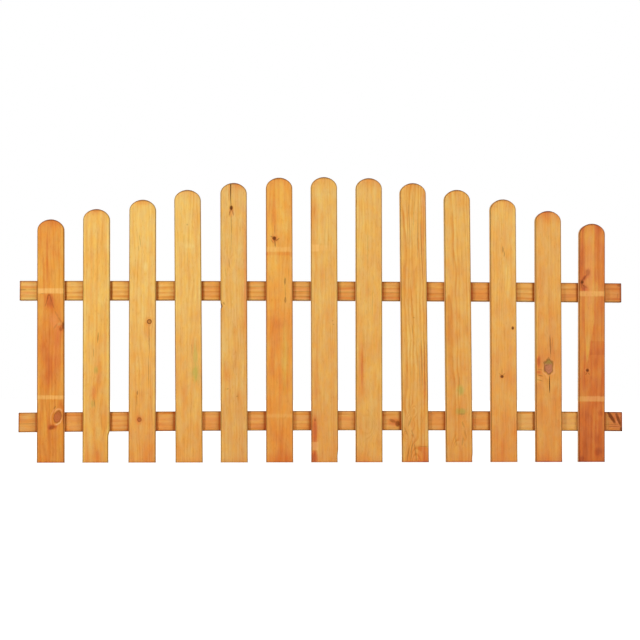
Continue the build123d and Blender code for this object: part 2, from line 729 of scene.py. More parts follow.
    def _latewood(self, bent: Grain) -> Socket:
        """How much dark latewood shows, from 0 to the figure's contrast.

        Formula: the ring number is the distance from the pith line over the ring width, with
        noise added so that rings are uneven, and a smooth bump of some rings at each swirl.
        Within a ring the wood darkens slowly from its start and falls back at once where the
        next year begins.

        Returns:
            The share of the latewood colour.
        """
        graph, figure = bent.graph, self.figure
        sway = bent.swing(self.SWAY, figure.wander)
        heave = bent.crosswise().swing(self.HEAVE, figure.wander)
        waver = bent.swing(self.WAVER, 0.8)
        pith_across = graph.raised(figure.pith_across, bent.along, figure.lean_across)
        pith_depth = graph.raised(figure.pith_depth, bent.along, figure.lean_depth)
        side = graph.less(graph.add(bent.across, graph.add(sway, waver)), pith_across)
        back = graph.less(graph.add(pith_depth, heave), bent.depth)
        ring = graph.scale(graph.distance(side, back), 1 / figure.ring_width)
        for swirl in figure.swirls:
            ring = graph.raised(ring, bent.oval(swirl), swirl.rings)
        uneven = graph.noise(graph.vector(graph.scale(ring, 0.31), self.seed, 0.0), detail=1.0)
        ring = graph.add(ring, graph.swing(uneven, 0.9))
        year = graph.math("FRACT", ring)
        shown = graph.scale(graph.fit(year, *self.YEAR_GROWS), graph.fit(year, *self.YEAR_ENDS))
        strength = graph.noise(graph.vector(graph.scale(ring, 0.47), 0.0, self.seed), detail=0.0)
        shown = graph.scale(shown, graph.fit(strength, 0.3, 0.7, 0.3, 1.2))
        shown = graph.scale(shown, graph.fit(bent.noise(self.FADING), 0.3, 0.7, 0.45, 1.15))
        return graph.scale(shown, figure.contrast)

    def _stain(self, bent: Grain, soak: Socket, ragged: Socket, marks: list[KnotMarks]) -> Socket:
        """Depth of the stain: a run from foot to head, with streaks, blotches and patches."""
        graph = bent.graph
        stain = graph.fit(bent.along, 0.0, self.length, self.foot, self.head, smooth=False)
        noises = ((self.STREAK, self.streaks), (self.STRIPE, self.stripes), (self.BLOTCH, self.blotches))
        for spots, amount in noises:
            stain = graph.add(stain, bent.swing(spots, amount))
        stain = graph.raised(stain, soak, self.soaked)
        strip = graph.fit(graph.size(bent.across), self.EDGE_STRIP, self.EDGE_STRIP + 4)
        stain = graph.raised(stain, strip, -self.pale_edge)
        if self.foot_line:
            stain = graph.add(stain, graph.fit(bent.along, 1.0, 4.5, self.foot_line, 0.0))
        for patch in self.patches:
            stain = graph.raised(stain, bent.oval(patch), patch.change)
        for wedge in self.wedges:
            stain = graph.raised(stain, bent.tongue(wedge), wedge.change)
        for mark in marks:
            stain = graph.add(stain, mark.halo)
        for band in self.bands:
            if band.strength < 0:
                stain = graph.raised(stain, bent.strip(band, ragged), -band.strength)
        return stain

    def _stained(self, grain: Grain, bent: Grain, soak: Socket, marks: list[KnotMarks]) -> Socket:
        """Colour of the stained wood under its figure: the dip, its bands and the tints in it."""
        graph = grain.graph
        ragged = grain.noise(self.RAGGED)
        stain = self._stain(bent, soak, ragged, marks)
        colour = graph.ramp(stain, [(depth.value, STAIN_COLOURS[depth]) for depth in Stain])
        colour = graph.darken(1.0, colour, self.tone)
        shade = graph.mix(graph.fit(grain.noise(self.HUE), 0.3, 0.7), self.WARMER, self.DULLER)
        colour = graph.darken(1.0, colour, shade)
        for band in self.bands:
            if band.strength > 0:
                inside = graph.scale(grain.strip(band, ragged), band.strength)
                colour = graph.mix(inside, colour, self.PALE)
        uneven = graph.swing(ragged, 0.5)
        for tint in self.tints:
            spot = graph.scale(grain.oval(tint, uneven), tint.strength)
            colour = graph.mix(spot, colour, tint.kind.value)
        return colour

    def _grained(self, bent: Grain, colour: Socket, late: Socket, fine: Socket) -> Socket:
        """Darken a colour by the latewood, the fibres, wider streaks and short resin canals."""
        graph = bent.graph
        colour = graph.darken(late, colour, self.LATEWOOD)
        colour = graph.darken(graph.fit(fine, *self.FINE_SHOWS), colour, self.FIBRE)
        coarse = graph.fit(bent.noise(self.COARSE), *self.COARSE_SHOWS)
        canals = graph.fit(bent.noise(self.CANALS), *self.CANALS_SHOW)
        return graph.darken(canals, graph.darken(coarse, colour, self.FIBRE), self.FIBRE)

    def _marked(self, grain: Grain, colour: Socket, marks: list[KnotMarks],
                cracks: Socket | None) -> Socket:
        """Paint the knots, resin flecks, cracks, and the painted shade with pooled stain beside the pickets,
        over a colour.
        """
        graph = grain.graph
        for mark in marks:
            colour = mark.paint(colour)
        frayed = grain.swing(self.FRAYED, 0.35)
        for fleck in self.flecks:
            spot = grain.oval(fleck, frayed, 0.5)
            colour = graph.mix(graph.scale(spot, fleck.strength), colour, self.RESIN)
        if cracks is not None:
            colour = graph.mix(cracks, colour, self.SPLIT)
        # Painted shade, with pooled stain, darkens the rail's front beside each picket
        if self.joint_pitch:
            colour = graph.darken(self._pool_and_shade(grain), colour, self.POOL_AND_SHADE)
        return colour

    def _edged(self, grain: Grain, colour: Socket, rim: Socket, soak: Socket) -> Socket:
        """Paint a highlight on the sides, and darken the moulded edges by collected stain and painted shade,
        and the ends and sawn wood by deeper stain.
        """
        graph = grain.graph
        # Painted highlight on the sides
        colour = graph.mix(graph.fit(rim, *self.SIDE_HIGHLIGHT_SHOWS), colour, self.SIDE_HIGHLIGHT)
        # Painted shade on the moulded edges, together with the stain collected there
        edge_stain_and_shade = graph.scale(graph.fit(rim, *self.GATHER_AND_SHADE_RISES), graph.fit(rim, *self.GATHER_AND_SHADE_FALLS))
        colour = graph.darken(edge_stain_and_shade, colour, self.EDGE_STAIN_AND_SHADE)
        lip = graph.math("MAXIMUM", graph.fit(soak, *self.HEAD_LIP), graph.fit(grain.along, *self.FOOT_LIP))
        colour = graph.darken(lip, colour, self.EDGE_STAIN_AND_SHADE)
        return graph.darken(self._sawn(graph), colour, self.SAWN)

    def _pool_and_shade(self, grain: Grain) -> Socket:
        """Mask of painted shade, with stain pooled there, on a rail's front in the corners beside the
        pickets.
        """
        graph, pitch = grain.graph, self.joint_pitch
        turn = graph.raised(0.5 - self.length / 2 / pitch, grain.along, 1 / pitch)
        reach = graph.scale(graph.size(graph.less(graph.math("FRACT", turn), 0.5)), pitch)
        beside = graph.fit(reach, self.joint_half + 1, self.joint_half + self.POOL_SHADE_REACH,
                           self.POOL_SHADE_DEPTH, 0.0)
        return graph.scale(beside, graph.fit(grain.depth, 2.0, 5.0, 1.0, 0.0))

    def _cracks(self, grain: Grain) -> Socket | None:
        """Mask of all the drying cracks, if there are any."""
        mask: Socket | None = None
        for check in self.checks:
            crack = grain.crack(check)
            mask = crack if mask is None else grain.graph.math("MAXIMUM", mask, crack)
        return mask

    def _sawn(self, graph: Graph) -> Socket:
        """How far a surface is cut across the grain, where the stain soaks in deeper."""
        normal = graph.split(graph.node("ShaderNodeNewGeometry").outputs["True Normal"])
        return graph.fit(graph.size(normal[self.grain_axis]), *self.SAWN_SHOWS)

    def _bump(self, graph: Graph, late: Socket, fine: Socket, marks: list[KnotMarks],
              cracks: Socket | None) -> Socket:
        """Relief of the planed face: latewood stands a little proud and fibres are grooved."""
        height = graph.add(graph.scale(late, self.LATE_PROUD), graph.scale(fine, -self.FIBRE_GROOVE))
        for mark in marks:
            height = graph.add(height, mark.relief)
        if cracks is not None:
            height = graph.raised(height, cracks, -self.CRACK_SINK)
        return graph.bump(height, self.RELIEF, MM)


def mesh_object(name: str, points: Array, faces: Faces, attributes: dict[str, Array]) -> bpy.types.Object:
    """Put worked-out points and faces into a new object with smooth faces and sharp corners.

    Args:
        name: Name of the object and its mesh.
        points: Places in metres, one row each.
        faces: Corner numbers of each face, anticlockwise from outside.
        attributes: Values for each point, by name: numbers or vectors.

    Returns:
        The new object, linked to the scene.
    """
    mesh = bpy.data.meshes.new(name)
    mesh.from_pydata(points.tolist(), [], faces)
    for key, values in attributes.items():
        kind, slot = ("FLOAT_VECTOR", "vector") if values.ndim == 2 else ("FLOAT", "value")
        layer = mesh.attributes.new(key, kind, "POINT")
        layer.data.foreach_set(slot, np.ascontiguousarray(values, dtype=np.float32).ravel())
    mesh.polygons.foreach_set("use_smooth", np.ones(len(mesh.polygons), dtype=bool))
    mesh.set_sharp_from_angle(angle=math.radians(SHARP_ANGLE))
    mesh.validate()
    mesh.update()
    made = bpy.data.objects.new(name, mesh)
    bpy.context.scene.collection.objects.link(made)
    return made


def merge_points(piece: bpy.types.Object) -> None:
    """Merge points that meet, as in the line at a crown, so that the surface is closed."""
    work = bmesh.new()
    work.from_mesh(piece.data)
    bmesh.ops.remove_doubles(work, verts=work.verts, dist=0.00001)
    bmesh.ops.dissolve_degenerate(work, edges=work.edges, dist=0.000001)
    work.to_mesh(piece.data)
    work.free()


@dataclass(frozen=True)
class Shape:
    """How a real board departs from a straight one, in millimetres.

    The leans shift its two ends sideways, and the bow shifts its middle between them. The taper
    draws its right side in towards the head, and the narrow foot does so below a height. The
    cup hollows its face, and the nick bites into its left side.
    """

    lean_foot: float = 0.0
    lean_head: float = 0.0
    bow: float = 0.0
    taper: float = 0.0
    cup: float = 0.0
    narrow_foot: float = 0.0
    narrow_from: float = 90.0
    nick_height: float = 0.0
    nick_depth: float = 0.0


@dataclass
class Board:
    """A board with moulded long edges, made as rows of points round its section.

    The rows run from the foot to the head. Where the board has a round head, the rows there
    follow its outline round to the crown, where they close to a line.
    """

    name: str
    width: float
    thickness: float
    length: float
    finish: WoodFinish
    shape: Shape
    slot: str
    arris: float = 4.0
    back_cut: float = 0.0
    head_rise: float = 0.0
    shoulder: float = 28.0

    ROW_STEP: ClassVar[float] = 5.0
    COLUMN_STEP: ClassVar[float] = 3.0
    ARRIS_STEPS: ClassVar[int] = 5
    SHOULDER_STEPS: ClassVar[int] = 11
    CROWN_STEPS: ClassVar[int] = 18
    SOAK_REACH: ClassVar[float] = 16.0
    FOOT_SOAK: ClassVar[float] = 0.45
    NARROW_RUN: ClassVar[float] = 22.0
    NICK_REACH: ClassVar[float] = 6.0
    CRACK_PULL: ClassVar[float] = 12.0  # how far beside a crack the columns still follow its bends

    @property
    def head_radius(self) -> float:
        """Radius of the head's large circle: half the width squared plus the rise squared, over
        twice the rise.
        """
        return ((self.width / 2) ** 2 + self.head_rise ** 2) / (2 * self.head_rise)

    def outline(self) -> tuple[Array, Array, Array]:
        """Right-hand outline from foot to crown.

        Formula: straight up the side, then the shoulder's small circle, then the head's large
        circle, which the small one touches from inside.

        Returns:
            Distance from the middle line, height above the foot and the angle of the outward
            normal, which is 0 on the side and a right angle at the crown.
        """
        half = self.width / 2
        if not self.head_rise:
            rows = np.linspace(0.0, self.length, round(self.length / self.ROW_STEP) + 1)
            return np.full_like(rows, half), rows, np.zeros_like(rows)
        radius = self.head_radius
        centre = self.length - radius
        reach = half - self.shoulder
        corner = centre + math.sqrt((radius - self.shoulder) ** 2 - reach ** 2)
        turn = math.atan2(corner - centre, reach)
        straight = np.linspace(0.0, corner, round(corner / self.ROW_STEP) + 1)
        small = np.linspace(0.0, turn, self.SHOULDER_STEPS + 1)[1:]
        large = np.linspace(turn, math.pi / 2, self.CROWN_STEPS + 1)[1:]
        side = [np.full_like(straight, half), reach + self.shoulder * np.cos(small), radius * np.cos(large)]
        rise = [straight, corner + self.shoulder * np.sin(small), centre + radius * np.sin(large)]
        return (np.concatenate(side), np.concatenate(rise),
                np.concatenate([np.zeros_like(straight), small, large]))

    def edge_profile(self) -> tuple[Array, Array, Array]:
        """Moulded edge from the front face round to the back face.

        Formula: a quarter circle of the arris radius and a flat, and at the back either another
        quarter circle or a plain chamfer at half a right angle.

        Returns:
            Distance in from the outline, depth from the front face, and a rim value that is 0
            on the faces and 1 on the side.
        """
        turn = np.linspace(0.0, math.pi / 2, self.ARRIS_STEPS + 1)
        inset = self.arris * (1 - np.sin(turn))
        depth = self.arris * (1 - np.cos(turn))
        rim = turn / (math.pi / 2)
        back_inset, back_depth, back_rim = inset[::-1], depth[::-1], rim[::-1]
        if self.back_cut:
            back_inset = np.array([0.0, self.back_cut])
            back_depth = back_inset[::-1]
            back_rim = np.array([1.0, 0.0])
        return (np.concatenate([inset, [0.0], back_inset]),
                np.concatenate([depth, [self.thickness / 2], self.thickness - back_depth]),
                np.concatenate([rim, [1.0], back_rim]))

    def columns(self) -> Array:
        """Places of the face's columns, as shares of its half width, with more at each crack."""
        flat = self.width / 2 - self.arris
        places = np.linspace(-flat, flat, round(2 * flat / self.COLUMN_STEP) + 1)
        for check in self.finish.checks:
            near = check.across + check.half_width * np.array([-2.0, -1.0, 0.0, 1.0, 2.0])
            places = places[np.abs(places - check.across) > 3.2 * check.half_width]
            places = np.concatenate([places, near])
        return np.sort(places) / flat

    def grooves(self, across: Array, along: Array) -> Array:
        """Depth of the cracks below the face, as a V that is deepest halfway along."""
        sunk = np.zeros_like(across)
        for check in self.finish.checks:
            taper = np.clip(1 - ((along - check.middle) / check.reach) ** 2, 0.0, 1.0)
            path = check.across + check.drift * np.sin(CRACK_WAVE * along)
            off = np.abs(across - path) / check.half_width
            sunk = np.maximum(sunk, check.depth * taper * np.clip(1 - off, 0.0, 1.0))
        return sunk

    def section_rows(self) -> tuple[Array, Array, Array, Array]:
        """All the board's points, one row of the grid for each height.

        Returns:
            Across, depth and along in millimetres, and the rim value, each as a grid whose
            columns go round the section: front, right edge, back and left edge.
        """
        side, rise, angle = (values[:, None] for values in self.outline())
        inset, depth, rim = self.edge_profile()
        share = self.columns()[None, :]
        drawn = side - inset * np.cos(angle)
        lowered = rise - inset * np.sin(angle)
        front_rise = lowered[:, :1] + 0 * share
        back_rise = lowered[:, -1:] + 0 * share
        for_cracks = np.zeros_like(front_rise)
        for check in self.finish.checks:
            away = (share * (self.width / 2 - self.arris) - check.across) / self.CRACK_PULL
            for_cracks += (check.drift * np.sin(CRACK_WAVE * front_rise) * np.exp(-away ** 2)
                           * (1 - share ** 2))
        front = share * drawn[:, :1] + for_cracks
        back = share[:, ::-1] * drawn[:, -1:]
        edge = slice(1, -1)
        right, right_rise = drawn[:, edge], lowered[:, edge]
        zero = np.zeros_like(front)
        across = np.concatenate([front, right, back, -right[:, ::-1]], axis=1)
        along = np.concatenate([front_rise, right_rise, back_rise, right_rise[:, ::-1]], axis=1)
        edge_depth = np.broadcast_to(depth[None, edge], right.shape)
        sunk = self.grooves(front, front_rise)
        inward = np.concatenate([sunk, edge_depth, zero + self.thickness, edge_depth[:, ::-1]], axis=1)
        edge_rim = np.broadcast_to(rim[None, edge], right.shape)
        rims = np.concatenate([zero, edge_rim, zero, edge_rim[:, ::-1]], axis=1)
        return across, inward, along, rims

    def bend(self, across: Array, depth: Array, along: Array) -> tuple[Array, Array]:
        """Lean, bow, cup and narrow the board as the real one.

        Formula: the middle line shifts in a straight run from foot to head plus a parabola, the
        right side draws in below a height and a little towards the head, and the face cups by a
        parabola across the width.

        Returns:
            The new across and depth.
        """
        shape = self.shape
        share = along / self.length
        shift = shape.lean_foot + (shape.lean_head - shape.lean_foot) * share
        shift = shift + shape.bow * 4 * share * (1 - share)
        low = np.clip((shape.narrow_from - along) / self.NARROW_RUN, 0.0, 1.0)
        low = low * low * (3 - 2 * low)
        drawn = shape.narrow_foot * low + shape.taper * share
        drawn = drawn * np.clip(across / (self.width / 2), 0.0, 1.0)
        chip = shape.nick_depth * np.exp(-((along - shape.nick_height) / self.NICK_REACH) ** 2)
        shift = shift + chip * np.clip(-across / (self.width / 2), 0.0, 1.0) ** 8
        cupped = shape.cup * (1 - (2 * across / self.width) ** 2)
        return across + shift - drawn, depth + cupped

    def soak(self, across: Array, along: Array) -> Array:
        """How far the dip soaked into the end grain, from 1 at an end to 0 further in.

        Formula: it falls off with the distance from the sawn foot, and from the round head or
        the other sawn end. On the head it also falls off where the outline turns to run with
        the grain, as the square of the outward normal's rise.
        """
        foot = self.FOOT_SOAK * np.exp(-along / self.SOAK_REACH)
        if not self.head_rise:
            return foot + np.exp(-(self.length - along) / self.SOAK_REACH)
        radius = self.head_radius
        rise = np.maximum(along - (self.length - radius), 0.0)
        reach = np.maximum(np.hypot(across, rise), 1.0)
        head = np.exp(-np.maximum(radius - reach, 0.0) / self.SOAK_REACH) * (rise / reach) ** 2
        return foot + head

    def faces(self, rows: int, ring: int, columns: int) -> Faces:
        """Quads between the rows, and the caps of the sawn ends.

        Args:
            rows: Number of rows.
            ring: Number of points round a row.
            columns: Number of columns on the front face.

        Returns:
            Corner numbers of each face, anticlockwise from outside.
        """
        numbers = np.arange(rows * ring).reshape(rows, ring)
        here, over = numbers[:-1], np.roll(numbers[:-1], -1, axis=1)
        above, over_above = numbers[1:], np.roll(numbers[1:], -1, axis=1)
        quads = np.stack([here, over, over_above, above], axis=-1).reshape(-1, 4).tolist()
        ends = [(numbers[0], False)] if self.head_rise else [(numbers[0], False), (numbers[-1], True)]
        edge = ring // 2 - columns
        for row, upper in ends:
            front = row[:columns]
            right = row[columns - 1:columns + edge + 1]
            back = row[columns + edge:2 * columns + edge][::-1]
            left = np.concatenate([row[2 * columns + edge - 1:], row[:1]])
            strip = np.stack([front[:-1], back[:-1], back[1:], front[1:]], axis=-1).tolist()
            caps = strip + [right.tolist()[::-1], left.tolist()[::-1]]
            quads += [cap[::-1] for cap in caps] if upper else caps
        return [tuple(corners) for corners in quads]

    def build(self, place: Array, turn: Array) -> bpy.types.Object:
        """Make the board's mesh and its material.

        Args:
            place: Where the foot of its front face's middle line is, in metres.
            turn: Matrix whose columns are the directions of across, depth and along.

        Returns:
            The finished board.
        """
        across, depth, along, rim = self.section_rows()
        grain = np.stack([across, depth, along], axis=-1).reshape(-1, 3)
        bent_across, bent_depth = self.bend(across, depth, along)
        bent = np.stack([bent_across, bent_depth, along], axis=-1).reshape(-1, 3)
        points = place + MM * bent @ turn.T
        rows, ring = across.shape
        made = mesh_object(self.name, points, self.faces(rows, ring, len(self.columns())),
                           {"grain": grain, "rim": rim.ravel(), "soak": self.soak(across, along).ravel()})
        merge_points(made)
        made.data.materials.append(self.finish.material(self.name + "_wood"))
        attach(made, "root")
        log.info("%s: %d faces", made.name, len(made.data.polygons))
        return made


UPRIGHT = np.array([[1.0, 0.0, 0.0], [0.0, 1.0, 0.0], [0.0, 0.0, 1.0]])
LEVEL = np.array([[0.0, 0.0, 1.0], [0.0, 1.0, 0.0], [-1.0, 0.0, 0.0]])


class Slot(Enum):
    """The record's material slots."""

    HONEY_PICKET = "honey_picket"
    ORANGE_PICKET = "orange_picket"
    RUSSET_PICKET = "russet_picket"
    RAIL = "rail"
    SCREW = "screw"


@dataclass(frozen=True)
class Picket:
    """One upright board of the panel, at the place of its frame node.

    Its top is how far the real board stands above the even arch.
    """

    number: int
    top: float
    slot: Slot
    finish: WoodFinish
    shape: Shape

    HEAD_RISE: ClassVar[float] = 24.5
    BACK_CUT: ClassVar[float] = 2.0
    TAPER: ClassVar[float] = 1.2
    CUP: ClassVar[float] = 0.25
    SEED_STEP: ClassVar[float] = 3.7

    @property
    def node(self) -> str:
        """Name of the frame node that the picket replaces."""
        return f"picket_{self.number:02d}"

    def build(self) -> bpy.types.Object:
        """Build the picket over its node's box and hide the node."""
        low, high = (np.array(corner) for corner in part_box(self.node))
        width, thickness, length = ((high - low) / MM).tolist()
        finish = replace(self.finish, length=length, seed=self.SEED_STEP * self.number)
        shape = replace(self.shape, taper=self.TAPER, cup=self.CUP)
        board = Board(f"{self.node}_board", width, thickness, length + self.top, finish, shape,
                      self.slot.value, back_cut=self.BACK_CUT, head_rise=self.HEAD_RISE)
        made = board.build(np.array([(low[0] + high[0]) / 2, low[1], low[2]]), UPRIGHT)
        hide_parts(self.node)
        return made


@dataclass(frozen=True)
class Rail:
    """One level board behind the pickets, at the place of its frame node.

    Its back is planed thinner by the height of the screw heads on it.
    """

    node: str
    finish: WoodFinish
    shape: Shape

    PICKET_PITCH: ClassVar[float] = 134.5
    PICKET_WIDTH: ClassVar[float] = 80.0

    def build(self) -> bpy.types.Object:
        """Build the rail over its node's box and hide the node."""
        low, high = (np.array(corner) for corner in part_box(self.node))
        length, thickness, width = ((high - low) / MM).tolist()
        finish = replace(self.finish, length=length, grain_axis=0, pale_edge=0.0,
                         joint_pitch=self.PICKET_PITCH, joint_half=self.PICKET_WIDTH / 2)
        board = Board(f"{self.node}_board", width, thickness - Screws.PROUD, length, finish,
                      self.shape, Slot.RAIL.value)
        made = board.build(np.array([low[0], low[1], (low[2] + high[2]) / 2]), LEVEL)
        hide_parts(self.node)
        Screws(self.node, board).build(low[1], (low[2] + high[2]) / 2)
        return made


@dataclass(frozen=True)
class ScrewFinish:
    """Yellow-passivated steel, with a fine uneven relief and duller spots."""

    METAL: ClassVar[Colour] = srgb(204, 184, 128)
    DULL: ClassVar[Colour] = srgb(150, 132, 92)
    SPOT_SCALE: ClassVar[float] = 900.0

    def material(self, name: str) -> bpy.types.Material:
        """Build the metal's material."""
        made = bpy.data.materials.new(name)
        made.use_nodes = True
        graph = Graph(made.node_tree)
        place = graph.node("ShaderNodeTexCoord").outputs["Object"]
        spots = graph.noise(place, self.SPOT_SCALE, 3.0)
        shader = graph.node("ShaderNodeBsdfPrincipled")
        shader.inputs["Metallic"].default_value = 1.0
        colour = graph.mix(graph.fit(spots, 0.35, 0.7), self.METAL, self.DULL)
        graph.feed(shader.inputs["Base Color"], colour)
        graph.feed(shader.inputs["Roughness"], graph.fit(spots, 0.3, 0.7, 0.30, 0.50))
        graph.feed(shader.inputs["Normal"], graph.bump(spots, 0.3, 0.1 * MM))
        graph.surface(shader.outputs[0])
        return made


@dataclass
class Screws:
    """The screws that hold the pickets from the back of one rail: two at each crossing."""

    node: str
    rail: Board

    COUNT: ClassVar[int] = 13
    PROUD: ClassVar[float] = 0.7
    INSIDE: ClassVar[float] = 0.02  # keeps the heads' tops just inside the frame's box
    RECESS_DEPTH: ClassVar[float] = 0.6
    RECESS_ARM: ClassVar[float] = 2.4
    RECESS_HALF: ClassVar[float] = 0.55
    RECESS_RAMP: ClassVar[float] = 0.5
    OFFSET_ALONG: ClassVar[float] = 17.0
    OFFSET_ACROSS: ClassVar[float] = 11.0
    TURN_STEP: ClassVar[float] = 2.4  # radians from one screw's recess to the next one's
    SPOKES: ClassVar[int] = 48

    def head(self) -> tuple[Array, Faces]:
        """One screw head about its own middle, in millimetres, with its top at zero depth.

        Formula: rings of points from the middle out to the rim and down the cone under it. A
        point lies lower where it is inside one of the two crossed arms of the recess, by a
        steep ramp of the distance from the arm's side.

        Returns:
            Points as along, depth and across, and the corner numbers of the faces.
        """
        rings = np.array([0.0, 0.25, 0.5, 0.7, 1.0, 1.5, 2.0, 2.35, 2.6, 3.4, 3.8, 4.0, 1.6])
        sink = np.array([0.0] * 9 + [0.0, 0.08, 0.3, 3.2])
        turn = np.linspace(0.0, 2 * math.pi, self.SPOKES, endpoint=False)
        along = rings[:, None] * np.cos(turn)
        across = rings[:, None] * np.sin(turn)
        arm = np.minimum(np.maximum(np.abs(along) / self.RECESS_ARM, np.abs(across) / self.RECESS_HALF),
                         np.maximum(np.abs(across) / self.RECESS_ARM, np.abs(along) / self.RECESS_HALF))
        inside = np.clip((1 + self.RECESS_RAMP / 2 - arm) / self.RECESS_RAMP, 0.0, 1.0)
        depth = sink[:, None] + self.RECESS_DEPTH * inside
        numbers = np.arange(rings.size * self.SPOKES).reshape(rings.size, self.SPOKES)
        inner, outer = numbers[:-1], numbers[1:]
        quads = np.stack([inner, np.roll(inner, -1, axis=1), np.roll(outer, -1, axis=1), outer], axis=-1)
        faces = quads.reshape(-1, 4).tolist() + [numbers[-1].tolist()]
        points = np.stack([along, depth, across], axis=-1).reshape(-1, 3)
        return points, [tuple(corners) for corners in faces]

    def build(self, front: float, middle: float) -> bpy.types.Object:
        """Set a head at each place on the rail's back, each turned its own way.

        Args:
            front: Depth of the rail's front face, in metres.
            middle: Height of the rail's centre line, in metres.

        Returns:
            One piece with all the rail's screw heads.
        """
        points, faces = self.head()
        crossing = (np.arange(self.COUNT) - (self.COUNT - 1) / 2) * Rail.PICKET_PITCH
        along = np.concatenate([crossing - self.OFFSET_ALONG, crossing + self.OFFSET_ALONG])
        across = np.repeat([self.OFFSET_ACROSS, -self.OFFSET_ACROSS], self.COUNT)
        drift, _ = self.rail.bend(across, across, along + self.rail.length / 2)
        turn = np.arange(along.size) * self.TURN_STEP
        cosine, sine = np.cos(turn)[:, None], np.sin(turn)[:, None]
        flat_along = points[:, 0] * cosine - points[:, 2] * sine
        flat_up = points[:, 0] * sine + points[:, 2] * cosine
        back = self.rail.thickness + self.PROUD - self.INSIDE
        x = along[:, None] + flat_along
        y = front / MM + back - points[:, 1] + 0 * x
        z = middle / MM - drift[:, None] + flat_up
        placed = MM * np.stack([x, y, z], axis=-1).reshape(-1, 3)
        every = [tuple(corner + shift for corner in corners)
                 for shift in range(0, along.size * len(points), len(points)) for corners in faces]
        made = mesh_object(f"{self.node}_screws", placed, every, {})
        merge_points(made)
        made.data.materials.append(ScrewFinish().material(f"{self.node}_screw_steel"))
        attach(made, "root")
        log.info("%s: %d screws, %d faces", made.name, along.size, len(made.data.polygons))
        return made


# The boards, each with the marks of the real one. A mark is written as its place across from the
# middle line and along from the foot, then its half width and half length, then its strength.

PINK = TintKind.PINK
FOG = TintKind.FOG


def picket_01() -> Picket:
    """Orange, with a live knot low down, a splash of resin halfway up and two spacer bands."""
    return Picket(1, 0.0, Slot.ORANGE_PICKET, WoodFinish(
        head=0.57, foot=0.60, tone=(0.98, 1.01, 0.73), foot_line=0.1,
        figure=Figure(-44, 48, 0.0, 0.02, 7.0, 0.50),
        knots=(Knot(20.5, 134, 10.5, KnotKind.LIVE, 1.65, -16, 0.08,
                    (Gleam(104, 1.36, 0.65), Gleam(-48, 1.32, 0.8), Gleam(178, 1.8, 0.3)), outline=0.6),),
        patches=(Patch(0, 335, 48, 150, 0.14), Patch(-12, 320, 20, 80, 0.06), Patch(5, 104, 13, 10, 0.25, 30),
                 Patch(-10, 610, 5, 90, 0.12), Patch(-26, 600, 6, 90, -0.08), Patch(20, 560, 14, 60, -0.06),
                 Patch(-2, 476, 20, 28, 0.20), Patch(32, 396, 12, 20, 0.16)),
        flecks=(Fleck(-9, 484, 2.4, 14, -14, 0.5), Fleck(0, 482, 2.0, 14, 14, 0.4),
                Fleck(-5, 492, 4.5, 2.6, 0, 0.45), Fleck(-14, 466, 1.8, 10, -18, 0.35),
                Fleck(7, 462, 1.8, 12, 20, 0.3), Fleck(37.5, 402, 5.5, 14, 0, 0.7),
                Fleck(30, 392, 6, 7, 30, 0.4), Fleck(27, 420, 3, 12, 36, 0.24),
                Fleck(14, 400, 3, 12, -35, 0.2), Fleck(17, 436, 3, 12, 30, 0.2),
                Fleck(12.5, 161, 2.6, 7, -30, 0.4), Fleck(4, 103, 10, 7, 30, 0.5),
                Fleck(37, 128, 2.0, 18, 0, 0.4), Fleck(-24, 496, 6, 1.8, 0, 0.3)),
        tints=(Tint(12, 418, 20, 30, 0.35, PINK), Tint(18, 330, 16, 110, 0.2, PINK),
               Tint(26, 407, 8, 7, 0.5, FOG)),
        bands=(Band(497, 512, 0.70), Band(186, 197, 0.64)),
    ), Shape(3.2, -1.9))


def picket_02() -> Picket:
    """Honey, narrowed at the foot, with two greenish spots."""
    return Picket(2, -3.0, Slot.HONEY_PICKET, WoodFinish(
        head=0.27, foot=0.43, pale_edge=0.12, tone=(1.0, 1.0, 0.93), soaked=0.26,
        figure=Figure(30, 46, 0.0, 0.012, 5.6, 0.62, 7.0, (Swirl(-6, 186, 15, 38, 2.2),)),
        patches=(Patch(0, 746, 32, 20, 0.10), Patch(10, 262, 13, 60, 0.18), Patch(6, 20, 10, 28, 0.26),
                 Patch(-6, 205, 11, 28, 0.16), Patch(-14, 640, 8, 120, 0.06), Patch(14, 480, 16, 50, -0.08),
                 Patch(2, 420, 5, 120, 0.10)),
        flecks=(Fleck(5, 368, 2.2, 18, -4, 0.5), Fleck(-8, 322, 1.8, 15, 2, 0.32),
                Fleck(-5, 176, 1.8, 19, 9, 0.36), Fleck(2, 640, 1.4, 60, 0, 0.14),
                Fleck(-10, 560, 1.4, 40, 0, 0.14), Fleck(16, 120, 1.4, 50, 1, 0.14)),
        tints=(Tint(-1, 272, 9, 15, 0.36), Tint(-10, 172, 7, 14, 0.26)),
    ), Shape(1.3, -2.6, narrow_foot=5.0, narrow_from=98.0))


